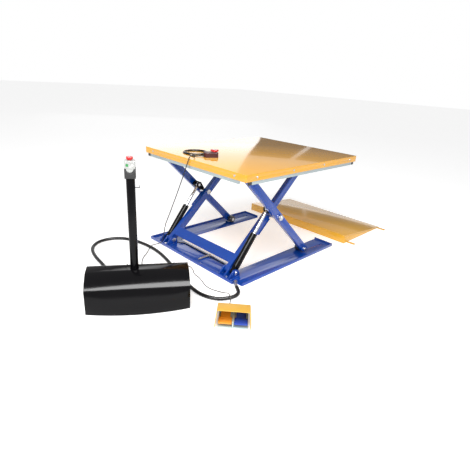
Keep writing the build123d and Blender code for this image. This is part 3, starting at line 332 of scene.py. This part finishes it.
pedalRoute = [
    around(packPlace, 0.215, glandReach, 0.020),
    around(packPlace, 0.215, glandReach + 0.048, 0.020),
    (-0.985, -0.196, 0.003), (-0.950, -0.128, 0.003), (-0.908, -0.070, 0.004), (-0.868, -0.038, 0.032),
    (-0.840, -0.024, 0.039), (-0.804, -0.020, 0.039), (-0.768, -0.028, 0.014), (-0.728, -0.050, 0.003),
    (-0.702, -0.096, 0.003), (-0.722, -0.158, 0.003), (-0.760, -0.215, 0.003), (-0.764, -0.284, 0.003),
    (-0.786, -0.352, 0.003), (-0.810, -0.418, 0.003), (-0.806, -0.484, 0.003), (-0.784, -0.538, 0.004),
    (-0.780, -0.592, 0.016), (-0.788, -0.632, 0.039), (-0.806, -0.672, 0.039), (-0.828, -0.702, 0.020),
    around(pedalPlace, -0.040, 0.244, 0.012),
    around(pedalPlace, -0.040, 0.204, 0.012),
]
floorRoute = [
    around(packPlace, 0.060, glandReach, 0.020),
    around(packPlace, 0.060, glandReach + 0.050, 0.020),
    (-1.110, -0.108, 0.0035), (-1.074, -0.024, 0.0035), (-1.036, 0.058, 0.0035), (-1.004, 0.138, 0.0035),
    (-0.962, 0.214, 0.0035), (-0.908, 0.276, 0.0035), (-0.846, 0.322, 0.005), (-0.802, 0.346, 0.030),
    (-0.776, 0.360, 0.041), (-0.748, 0.380, 0.037), (-0.710, 0.378, 0.035),
]
dropRoute = [
    (-0.710, 0.378, 0.035), (-0.6625, 0.3755, 0.0325), (-0.660, 0.350, 0.078), (-0.661, 0.334, 0.130),
    (-0.661, 0.322, 0.184), (-0.661, 0.304, 0.240), (-0.662, 0.276, 0.292), (-0.663, 0.240, 0.354),
    (-0.664, 0.198, 0.434), (-0.665, 0.151, 0.521), (-0.666, 0.104, 0.614), (-0.668, 0.058, 0.702),
    (-0.666, 0.024, 0.780), (-0.662, 0.006, 0.830),
]
leadRoute = [
    (-0.662, 0.006, 0.830), (-0.660, -0.003, 0.855), (-0.650, -0.007, 0.878), (-0.622, -0.009, 0.882),
    (-0.598, 0.000, 0.866), (-0.583, 0.026, 0.8585), (-0.580, 0.058, 0.8585), (-0.572, 0.094, 0.8585),
]
tailRoute = [
    (-0.556, 0.062, 0.859), (-0.554, 0.034, 0.860),
    around(handsetPlace, -0.085, 0, 0.010),
    around(handsetPlace, -0.055, 0, 0.010),
]
controlRoute = [
    around(packPlace, -0.214, 0.192, 0.240), around(packPlace, -0.214, 0.192, 0.260),
    around(packPlace, -0.184, 0.196, 0.274), around(packPlace, -0.142, 0.198, 0.278),
    around(packPlace, -0.098, 0.196, 0.272), around(packPlace, -0.072, 0.192, 0.258),
    around(packPlace, -0.072, 0.192, 0.240),
]
loops = {
    "centre": (-0.458, 0.160), "reach": (0.110, 0.108), "shrink": 0.010, "turns": 3, "perTurn": 14,
    "start": 208, "foot": 0.8590, "rise": 0.0035, "sway": 0.03, "swayRate": 2.3, "drift": 0.003, "driftRate": 5,
}


def loopPoints(v):
    # loose turns that differ in size and drift a little from each other
    points = []
    count = v["turns"] * v["perTurn"]
    for i in range(count + 1):
        angle = math.radians(v["start"]) - 2 * math.pi * i / v["perTurn"]
        turn = i / v["perTurn"]
        reach = 1 - v["shrink"] / v["reach"][0] * turn + v["sway"] * math.sin(turn * v["swayRate"])
        height = v["foot"] + v["rise"] * (1 - math.cos(turn * math.pi * 2 / v["turns"]))
        drift = v["drift"] * math.sin(v["driftRate"] * turn)
        points.append((v["centre"][0] + v["reach"][0] * reach * math.cos(angle) + drift,
                       v["centre"][1] + v["reach"][1] * reach * math.sin(angle), height))
    return points


def routeCurve(name, points, radius):
    data = bpy.data.curves.new(name, "CURVE")
    data.dimensions = "3D"
    data.resolution_u = 8
    data.bevel_depth = radius
    data.bevel_resolution = 4
    data.use_fill_caps = True
    spline = data.splines.new("NURBS")
    spline.points.add(len(points) - 1)
    for point, place in zip(spline.points, points):
        point.co = (*place, 1)
    spline.order_u = 3
    spline.use_endpoint_u = True
    return data


def routeMesh(name, points, radius):
    obj = bpy.data.objects.new(name, routeCurve(name, points, radius))
    bpy.context.collection.objects.link(obj)
    bpy.context.view_layer.update()
    mesh = bpy.data.meshes.new_from_object(obj.evaluated_get(bpy.context.evaluated_depsgraph_get()))
    bpy.data.objects.remove(obj)
    return mesh


def routeLine(points):
    # the smooth line of a route, read back from its own spline
    return [v.co.copy() for v in routeMesh("line", points, 0).vertices]


def lineLength(line):
    return sum((b - a).length for a, b in zip(line, line[1:]))


def addCord(name, points, radius, finish, body, stands):
    length = lineLength(routeLine(points))
    piece = finishPiece(name, routeCurve(name, points, radius), finish, body, stands)
    print(name, "length", round(length, 3))


wrap = {"thick": 0.0016, "width": 0.013, "pitch": 0.024, "perTurn": 14, "sunk": 0.0004}


def spiralWrap(points, v):
    # a flat band wound round the hose: one profile extruded from place to place
    line = routeLine(points)
    total = lineLength(line)
    bm = bmesh.new()
    count = int(total / v["pitch"] * v["perTurn"])
    lengths = [0.0]
    for a, b in zip(line, line[1:]):
        lengths.append(lengths[-1] + (b - a).length)
    half = v["width"] / 2
    profile = [(-half, 0), (half, 0), (half, v["thick"]), (-half, v["thick"])]
    ring = None
    seg = 0
    for i in range(count):
        s = total * (i + 0.5) / count
        while seg < len(line) - 2 and lengths[seg + 1] < s:
            seg += 1
        part = (s - lengths[seg]) / max(lengths[seg + 1] - lengths[seg], 1e-9)
        middle = line[seg].lerp(line[seg + 1], part)
        along = (line[seg + 1] - line[seg]).normalized()
        side = along.cross(Vector((0, 0, 1))).normalized()
        up = side.cross(along)
        angle = 2 * math.pi * i / v["perTurn"]
        out = side * math.cos(angle) + up * math.sin(angle)
        foot = cordRadii["hose"] - v["sunk"]
        new = [bm.verts.new(middle + along * a + out * (foot + h)) for a, h in profile]
        if ring:
            for k in range(4):
                bm.faces.new((ring[k], ring[(k + 1) % 4], new[(k + 1) % 4], new[k]))
        else:
            bm.faces.new(new)
        ring = new
    bm.faces.new(ring)
    bmesh.ops.recalc_face_normals(bm, faces=bm.faces)
    return bm


wrapPiece = pieceFromMesh("hose_wrap", spiralWrap(hoseRoute, wrap), "black_cable", "base", smooth=50)
addCord("hose", hoseRoute, cordRadii["hose"], "black_cable", "base", ["main_hose"])
addCord("foot_switch_cable", pedalRoute, cordRadii["footSwitch"], "grey_cable", "base", ["pedal_cable"])
addCord("floor_cable", floorRoute, cordRadii["handset"], "black_cable", "base", ["pendant_cable_floor"])

# heights of the hanging cable's fixed foot, and of its top end with the table lowered
hanging = {"foot": 0.034, "lowered": 0.060}


def addHangingCable(points, radius, foot, lowered):
    # a mesh tube along the route, given a mesh of its own; on the table this cable is pressed down beside the
    # platform's face as the table is lowered
    line = routeLine(points)
    mesh = routeMesh("hanging_cable", points, radius)
    mesh.materials.clear()
    mesh.shade_smooth()
    piece = finishPiece("hanging_cable", mesh, "black_cable", "base", ["pendant_cable_drop"])
    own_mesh(piece)
    print("hanging_cable length", round(lineLength(line), 3))


addHangingCable(dropRoute, cordRadii["handset"], **hanging)
platformRoute = leadRoute + loopPoints(loops) + tailRoute
addCord("platform_cable", platformRoute, cordRadii["handset"], "black_cable", "platform",
        ["pendant_cable_leads", "pendant_cable_coil"])
addCord("control_lead", controlRoute, cordRadii["control"], "key_white", "base", ["control_cable"])
print("cords laid")

# CAD pieces whose edges are rounded off as rolled, cut or moulded stock is
edgeWidths = {
    "deck": 0.0016, "base_frame": 0.0012, "inner_frame": 0.0015, "outer_arm_left": 0.0018,
    "outer_arm_right": 0.0018, "guide_channels": 0.0008, "hinge_lugs": 0.0008, "top_lugs": 0.0008,
    "ramp_deck": 0.0014, "ramp_frame": 0.001, "safety_bar": 0.0008, "bar_ends": 0.0015,
    "pack_hood": 0.0012, "pack_tray": 0.0008, "control_post": 0.001, "post_holder": 0.001,
    "control_box": 0.0015, "pedal_base": 0.0012, "pedal_guard": 0.0012, "raise_treadle": 0.0012,
    "lower_treadle": 0.0012, "rod_brackets": 0.001, "pipe_tee": 0.001, "hose_union": 0.0006,
    "top_roller_left": 0.0008, "top_roller_right": 0.0008, "bottom_roller_left": 0.0008,
    "bottom_roller_right": 0.0008, "centre_pins": 0.0008, "base_pins": 0.0008, "top_pins": 0.0008,
}

# corners closer than this are one corner, and faces within this angle are one face
joinReach = 0.00002
flatAngle = 0.6
edgeAngle = 32

# the hood's long soft creases are left to its shading, so only its cut edges are rounded
edgeAngles = {"pack_hood": 62}


def bevelEdges(bm, edges, width, segments):
    bmesh.ops.bevel(bm, geom=edges, offset=width, offset_type="OFFSET", segments=segments, profile=0.5,
                    affect="EDGES", clamp_overlap=True, material=-1)


def roundedCopy(nodeName, width):
    angle = edgeAngles.get(nodeName, edgeAngle)
    bm = bmesh.new()
    bm.from_mesh(nodes[nodeName].data)
    bmesh.ops.remove_doubles(bm, verts=bm.verts, dist=joinReach)
    bmesh.ops.dissolve_limit(bm, angle_limit=math.radians(flatAngle), verts=bm.verts, edges=bm.edges)
    sharp = [e for e in bm.edges if e.is_manifold and e.calc_face_angle() > math.radians(angle)]
    bevelEdges(bm, sharp, width, 2)
    pieceFromMesh("shaped_" + nodeName, bm, slotOf[nodeName], bodyOf[nodeName], [nodeName], smooth=angle)


for nodeName, width in edgeWidths.items():
    roundedCopy(nodeName, width)
print("edges rounded:", len(edgeWidths))


def partsOf(nodeName):
    # lowest and highest corner of each loose part of a node
    bm = bmesh.new()
    bm.from_mesh(nodes[nodeName].data)
    bmesh.ops.remove_doubles(bm, verts=bm.verts, dist=joinReach)
    found = []
    left = set(bm.verts)
    while left:
        group = [left.pop()]
        corners = [group[0].co.copy(), group[0].co.copy()]
        while group:
            vert = group.pop()
            for axis in range(3):
                corners[0][axis] = min(corners[0][axis], vert.co[axis])
                corners[1][axis] = max(corners[1][axis], vert.co[axis])
            for edge in vert.link_edges:
                other = edge.other_vert(vert)
                if other in left:
                    left.remove(other)
                    group.append(other)
        found.append(corners)
    bm.free()
    return sorted(found, key=lambda c: tuple(c[0]))


def spunForm(bm, profile, place, along, steps=32):
    # profile of (radius, height) pairs turned about its own axis, then put in place
    verts = [bm.verts.new((r, 0, h)) for r, h in profile]
    edges = [bm.edges.new(pair) for pair in zip(verts, verts[1:])]
    made = bmesh.ops.spin(bm, geom=verts + edges, cent=(0, 0, 0), axis=(0, 0, 1), angle=2 * math.pi,
                          steps=steps, use_merge=True)
    turned = set(verts)
    for item in made["geom_last"]:
        turned.update([item] if isinstance(item, bmesh.types.BMVert) else item.verts)
    while True:
        more = {e.other_vert(v) for v in turned for e in v.link_edges} - turned
        if not more:
            break
        turned |= more
    turn = Vector(along).to_track_quat("Z", "Y").to_matrix().to_4x4()
    bmesh.ops.transform(bm, matrix=Matrix.Translation(place) @ turn, verts=list(turned))


def closeForms(bm):
    bmesh.ops.remove_doubles(bm, verts=bm.verts, dist=0.00001)
    bmesh.ops.recalc_face_normals(bm, faces=bm.faces)
    return bm


def capProfile(radius, height, edge):
    return [(0, 0), (radius, 0), (radius, height - edge), (radius - edge, height), (0, height)]


def ringProfile(inner, outer, height):
    return [(inner, 0), (outer, 0), (outer, height), (inner, height), (inner, 0)]


# flat heads and rings on the pins' outer ends, in shares of each pin's radius
pinHeads = {"head": 0.72, "height": 0.006, "edge": 0.002, "sunk": 0.001,
            "ring": (0.80, 0.97), "ringHeight": 0.0012, "ringSunk": 0.0002}


def addPinHeads(nodeName, body, v):
    bm = bmesh.new()
    for low, high in partsOf(nodeName):
        middle = (low + high) / 2
        out = 1 if middle.y > 0 else -1
        face = high.y if out > 0 else low.y
        radius = (high.z - low.z) / 2
        head = capProfile(radius * v["head"], v["height"], v["edge"])
        spunForm(bm, head, (middle.x, face - out * v["sunk"], middle.z), (0, out, 0))
        ring = ringProfile(radius * v["ring"][0], radius * v["ring"][1], v["ringHeight"])
        spunForm(bm, ring, (middle.x, face - out * v["ringSunk"], middle.z), (0, out, 0))
    pieceFromMesh(nodeName + "_heads", closeForms(bm), "steel", body)


addPinHeads("centre_pins", "inner_arms", pinHeads)
addPinHeads("base_pins", "base", pinHeads)
addPinHeads("bottom_axles", "outer_arms", pinHeads)

# safety bar bolts sit in pale washers
barWashers = {"radius": 0.0085, "hole": 0.0045, "thick": 0.001}


def addBarWashers(v):
    bm = bmesh.new()
    low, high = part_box("deck")
    for a, b in partsOf("bar_bolts"):
        middle = (a + b) / 2
        gaps = {(-1, 0, 0): middle.x - low[0], (1, 0, 0): high[0] - middle.x,
                (0, -1, 0): middle.y - low[1], (0, 1, 0): high[1] - middle.y}
        out = min(gaps, key=gaps.get)
        face = {(-1, 0, 0): (low[0], middle.y), (1, 0, 0): (high[0], middle.y),
                (0, -1, 0): (middle.x, low[1]), (0, 1, 0): (middle.x, high[1])}[out]
        ring = ringProfile(v["hole"], v["radius"], v["thick"])
        spunForm(bm, ring, (*face, middle.z), out, 24)
    pieceFromMesh("bar_washers", closeForms(bm), "bar_aluminium", "platform")


addBarWashers(barWashers)

# hexagon bolts on the front plate
baseBolts = {"places": [(-0.595, -0.405), (-0.595, 0.405), (-0.622, -0.12), (-0.622, 0.12)], "base": 0.008,
             "washer": (0.014, 0.0015), "edge": 0.0003, "head": (0.0095, 0.007)}


def addHexHead(bm, place, along, radius, height):
    turn = Vector(along).to_track_quat("Z", "Y").to_matrix().to_4x4()
    shift = Matrix.Translation(Vector(place) + Vector(along) * height / 2)
    made = bmesh.ops.create_cone(bm, cap_ends=True, segments=6, radius1=radius, radius2=radius, depth=height,
                                 matrix=shift @ turn)
    edges = {e for vert in made["verts"] for e in vert.link_edges}
    bevelEdges(bm, list(edges), height * 0.10, 1)


def addBaseBolts(v):
    bm = bmesh.new()
    for x, y in v["places"]:
        spunForm(bm, capProfile(*v["washer"], v["edge"]), (x, y, v["base"]), (0, 0, 1), 28)
        addHexHead(bm, (x, y, v["base"] + v["washer"][1]), (0, 0, 1), *v["head"])
    pieceFromMesh("base_bolts", closeForms(bm), "steel", "base")


addBaseBolts(baseBolts)

# weld beads along the feet of the hinge lugs
welds = {"radius": 0.0026, "base": 0.008, "step": 0.004, "gap": 0.0004, "under": 0.0006, "squeeze": 0.9,
         "sway": 0.12, "swayRates": (2.1, 40)}


def addWelds(nodeName, body, height, v):
    bm = bmesh.new()
    for low, high in partsOf(nodeName):
        for y, sign in ((low.y, -1), (high.y, 1)):
            count = int((high.x - low.x) / v["step"])
            for i in range(count):
                x = low.x + (i + 0.5) * (high.x - low.x) / count
                sway = math.sin(i * v["swayRates"][0] + y * v["swayRates"][1])
                size = v["radius"] * (1 + v["sway"] * sway)
                place = Matrix.Translation((x, y + sign * v["gap"], height))
                shape = place @ Matrix.Diagonal((v["squeeze"], 1, 1, 1))
                bmesh.ops.create_icosphere(bm, subdivisions=1, radius=size, matrix=shape)
    pieceFromMesh(nodeName + "_welds", bm, slotOf[nodeName], body, smooth=80)


addWelds("hinge_lugs", "base", welds["base"], welds)
addWelds("top_lugs", "platform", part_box("top_lugs")[1][2] - welds["under"], welds)

# tapered ribbed sleeves where the cords leave their glands: start, direction, cord radius, length, body
sleeves = [
    ("hose_sleeve", hoseRoute[0], hoseRoute[1], 0.0128, 0.040, "base"),
    ("foot_switch_sleeve", pedalRoute[0], pedalRoute[1], cordRadii["footSwitch"], 0.026, "base"),
    ("foot_switch_end_sleeve", pedalRoute[-1], pedalRoute[-2], cordRadii["footSwitch"], 0.024, "base"),
    ("floor_cable_sleeve", floorRoute[0], floorRoute[1], cordRadii["handset"], 0.026, "base"),
    ("handset_sleeve", tailRoute[-1], tailRoute[-2], cordRadii["handset"], 0.024, "platform"),
    ("control_lead_sleeve", controlRoute[0], controlRoute[1], cordRadii["control"], 0.010, "base"),
    ("control_lead_end_sleeve", controlRoute[-1], controlRoute[-2], cordRadii["control"], 0.010, "base"),
]
# one rib's shape, in shares of the cord's radius and of the rib's own length
ribbing = {"ribs": 6, "wide": 1.75, "taper": 0.55, "bore": 0.98, "tip": 1.1,
           "ribEnd": 0.6, "grooveStart": 0.7, "grooveEnd": 0.95, "groove": 0.9}


def addSleeve(name, start, towards, radius, length, body, v):
    bm = bmesh.new()
    ribs = v["ribs"]
    bore = radius * v["bore"]
    profile = [(bore, 0)]
    for i in range(ribs):
        wide = radius * (v["wide"] - v["taper"] * i / ribs)
        groove = wide * v["groove"]
        at = length * i / ribs
        step = length / ribs
        profile += [(wide, at), (wide, at + step * v["ribEnd"]), (groove, at + step * v["grooveStart"]),
                    (groove, at + step * v["grooveEnd"])]
    profile += [(radius * v["tip"], length), (bore, length), (bore, 0)]
    spunForm(bm, profile, start, Vector(towards) - Vector(start), 28)
    pieceFromMesh(name, closeForms(bm), "black_rubber", body)


for sleeve in sleeves:
    addSleeve(*sleeve, ribbing)

# small dome screws in the front of the control box
boxScrews = {"radius": 0.0025, "height": 0.0012, "inset": 0.007, "side": 0.024, "front": 0.0274}


def addDomeScrew(bm, place, along, radius, height):
    dome = [(0, 0), (radius, 0), (radius * 0.96, height * 0.4), (radius * 0.7, height * 0.85),
            (radius * 0.35, height), (radius * 0.35, height * 0.4), (0, height * 0.4)]
    spunForm(bm, dome, place, along, 20)


def packAxis(u, n):
    turn = math.radians(packPlace["turn"])
    return Vector((u * math.cos(turn) - n * math.sin(turn), u * math.sin(turn) + n * math.cos(turn), 0))


def addBoxScrews(v):
    bm = bmesh.new()
    low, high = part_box("control_box")
    middle = (Vector(low) + Vector(high)) / 2
    for side in (-1, 1):
        for z in (low[2] + v["inset"], high[2] - v["inset"]):
            place = middle + packAxis(side * v["side"], -v["front"])
            addDomeScrew(bm, (place.x, place.y, z), packAxis(0, -1), v["radius"], v["height"])
    pieceFromMesh("control_box_screws", closeForms(bm), "steel", "base")


addBoxScrews(boxScrews)

# the pale disc in the handset's stop
stopDisc = {"profile": [(0, 0), (0.021, 0), (0.0208, 0.0010), (0.019, 0.0016), (0, 0.0020)], "sunk": 0.0004}


def addStopDisc(v):
    low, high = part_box("handset_stop")
    middle = ((low[0] + high[0]) / 2, (low[1] + high[1]) / 2)
    bm = bmesh.new()
    spunForm(bm, v["profile"], (*middle, high[2] - v["sunk"]), (0, 0, 1))
    pieceFromMesh("handset_stop_disc", closeForms(bm), "key_white", "handset_stop")


addStopDisc(stopDisc)

# ribs across the two treadles
treadleRibs = {"count": 7, "first": 0.014, "step": 0.008, "height": 0.0016, "top": 0.038, "half": 0.034,
               "depth": 0.003, "edge": 0.0006, "sunk": 0.0002, "middle": 0.050}


def addTreadleRibs(name, middle, finish, body, v):
    bm = bmesh.new()
    turn = Matrix.Rotation(math.radians(pedalPlace["turn"]), 4, "Z")
    for i in range(v["count"]):
        height = v["top"] + v["height"] / 2 - v["sunk"]
        place = Matrix.Translation(around(pedalPlace, middle, v["first"] + i * v["step"], height))
        shape = place @ turn @ Matrix.Diagonal((2 * v["half"], v["depth"], v["height"], 1))
        made = bmesh.ops.create_cube(bm, size=1, matrix=shape)
        edges = {e for vert in made["verts"] for e in vert.link_edges}
        bevelEdges(bm, list(edges), v["edge"], 2)
    pieceFromMesh(name, bm, finish, body)


addTreadleRibs("raise_treadle_ribs", -treadleRibs["middle"], "treadle_orange", "raise_treadle", treadleRibs)
addTreadleRibs("lower_treadle_ribs", treadleRibs["middle"], "treadle_blue", "lower_treadle", treadleRibs)
print("details added")

# floor, light and reflections
studio = {"floor": (0.92, 0.92, 0.92), "floorRough": 0.9, "floorGlow": 0.34, "floorSize": 40,
          "floorDrop": 0.0005, "light": 0.62, "backdrop": 1.0}


def addSurface(name, bm, color, rough, glow):
    # a surface of the studio that gives off light of its own
    mesh = meshOf(name, bm)
    surface = bpy.data.objects.new(name, mesh)
    bpy.context.collection.objects.link(surface)
    mat = bpy.data.materials.new(name)
    mat.use_nodes = True
    shader = mat.node_tree.nodes["Principled BSDF"]
    shader.inputs["Base Color"].default_value = (*color, 1)
    shader.inputs["Roughness"].default_value = rough
    shader.inputs["Emission Color"].default_value = (1, 1, 1, 1)
    shader.inputs["Emission Strength"].default_value = glow
    mesh.materials.append(mat)
    return surface


def addStudio(v):
    bm = bmesh.new()
    bmesh.ops.create_grid(bm, x_segments=1, y_segments=1, size=v["floorSize"])
    floor = addSurface("floor", bm, v["floor"], v["floorRough"], v["floorGlow"])
    floor.location = (0, 0, -v["floorDrop"])
    world = bpy.data.worlds.new("world")
    bpy.context.scene.world = world
    world.use_nodes = True
    tree = world.node_tree
    sky = tree.nodes["Background"]
    sky.inputs["Color"].default_value = (1, 1, 1, 1)
    path = tree.nodes.new("ShaderNodeLightPath")
    strength = tree.nodes.new("ShaderNodeMapRange")
    strength.inputs["To Min"].default_value = v["light"]
    strength.inputs["To Max"].default_value = v["backdrop"]
    tree.links.new(path.outputs["Is Camera Ray"], strength.inputs["Value"])
    tree.links.new(strength.outputs["Result"], sky.inputs["Strength"])
    bpy.context.scene.view_settings.view_transform = "Standard"


def addPanel(name, bm, glow):
    # black, so that nothing but its glow shows in the gloss
    panel = addSurface(name, bm, (0, 0, 0), 1, glow)
    panel.visible_camera = False
    panel.visible_shadow = False
    panel.visible_diffuse = False


def addCard(name, azimuths, heights, reach, glow):
    # an upright panel out of the camera's sight that only shows in the gloss
    low, high = heights
    a, b = (math.radians(x) for x in azimuths)
    bm = bmesh.new()
    foot = [(reach * math.cos(t), reach * math.sin(t)) for t in (a, b)]
    corners = [(*foot[0], low), (*foot[1], low), (*foot[1], high), (*foot[0], high)]
    bm.faces.new([bm.verts.new(c) for c in corners])
    addPanel(name, bm, glow)


def addSoftbox(name, place, target, size, power):
    data = bpy.data.lights.new(name, "AREA")
    data.shape = "RECTANGLE"
    data.size, data.size_y = size
    data.energy = power
    lamp = bpy.data.objects.new(name, data)
    bpy.context.collection.objects.link(lamp)
    lamp.location = place
    lamp.visible_glossy = False
    lamp.rotation_euler = (Vector(target) - Vector(place)).to_track_quat("-Z", "Y").to_euler()


def addGlowPatch(name, sides, tilts, reach, glow):
    # a quadrilateral over the hood whose two ends can differ in width
    corners = []
    for u, (low, high) in zip(sides, tilts):
        for tilt in (low, high) if u < 0 else (high, low):
            up = math.radians(tilt)
            place = packAxis(u, -reach * math.cos(up)) + Vector((*packPlace["at"], 0.2 + reach * math.sin(up)))
            corners.append(place)
    bm = bmesh.new()
    bm.faces.new([bm.verts.new(c) for c in corners])
    addPanel(name, bm, glow)


# panels round the table: azimuths and heights of the two ends, distance and glow
cards = {
    "dark_panel_left": ((40.5, 31.2), (0.3, 4.1), 12, 0.14),
    "dark_panel_right": ((30.2, 8), (0.3, 4.1), 12, 0.16),
    "pale_panel": ((78, 40.7), (0.3, 9.5), 12.2, 1.55),
}
# highlights in the hood: places of the two ends, tilts there, distance and glow
glowPatches = {
    "hood_band": ((-2.4, 2.4), ((54, 61), (49, 74)), 2.5, 30),
    "hood_line": ((-2.4, 1.6), ((40, 42), (38, 43)), 2.5, 12),
}
# lamps: place, target, size and power
softboxes = {
    "key": ((-2.6, -1.2, 3.6), (0, 0, 0.4), (2.2, 1.6), 130),
    "front_strip": ((-2.2, -3.4, 1.9), (-1.2, -0.4, 0.2), (2.6, 0.5), 45),
}

addStudio(studio)
for name, card in cards.items():
    addCard(name, *card)
for name, patch in glowPatches.items():
    addGlowPatch(name, *patch)
for name, softbox in softboxes.items():
    addSoftbox(name, *softbox)
print("studio ready")
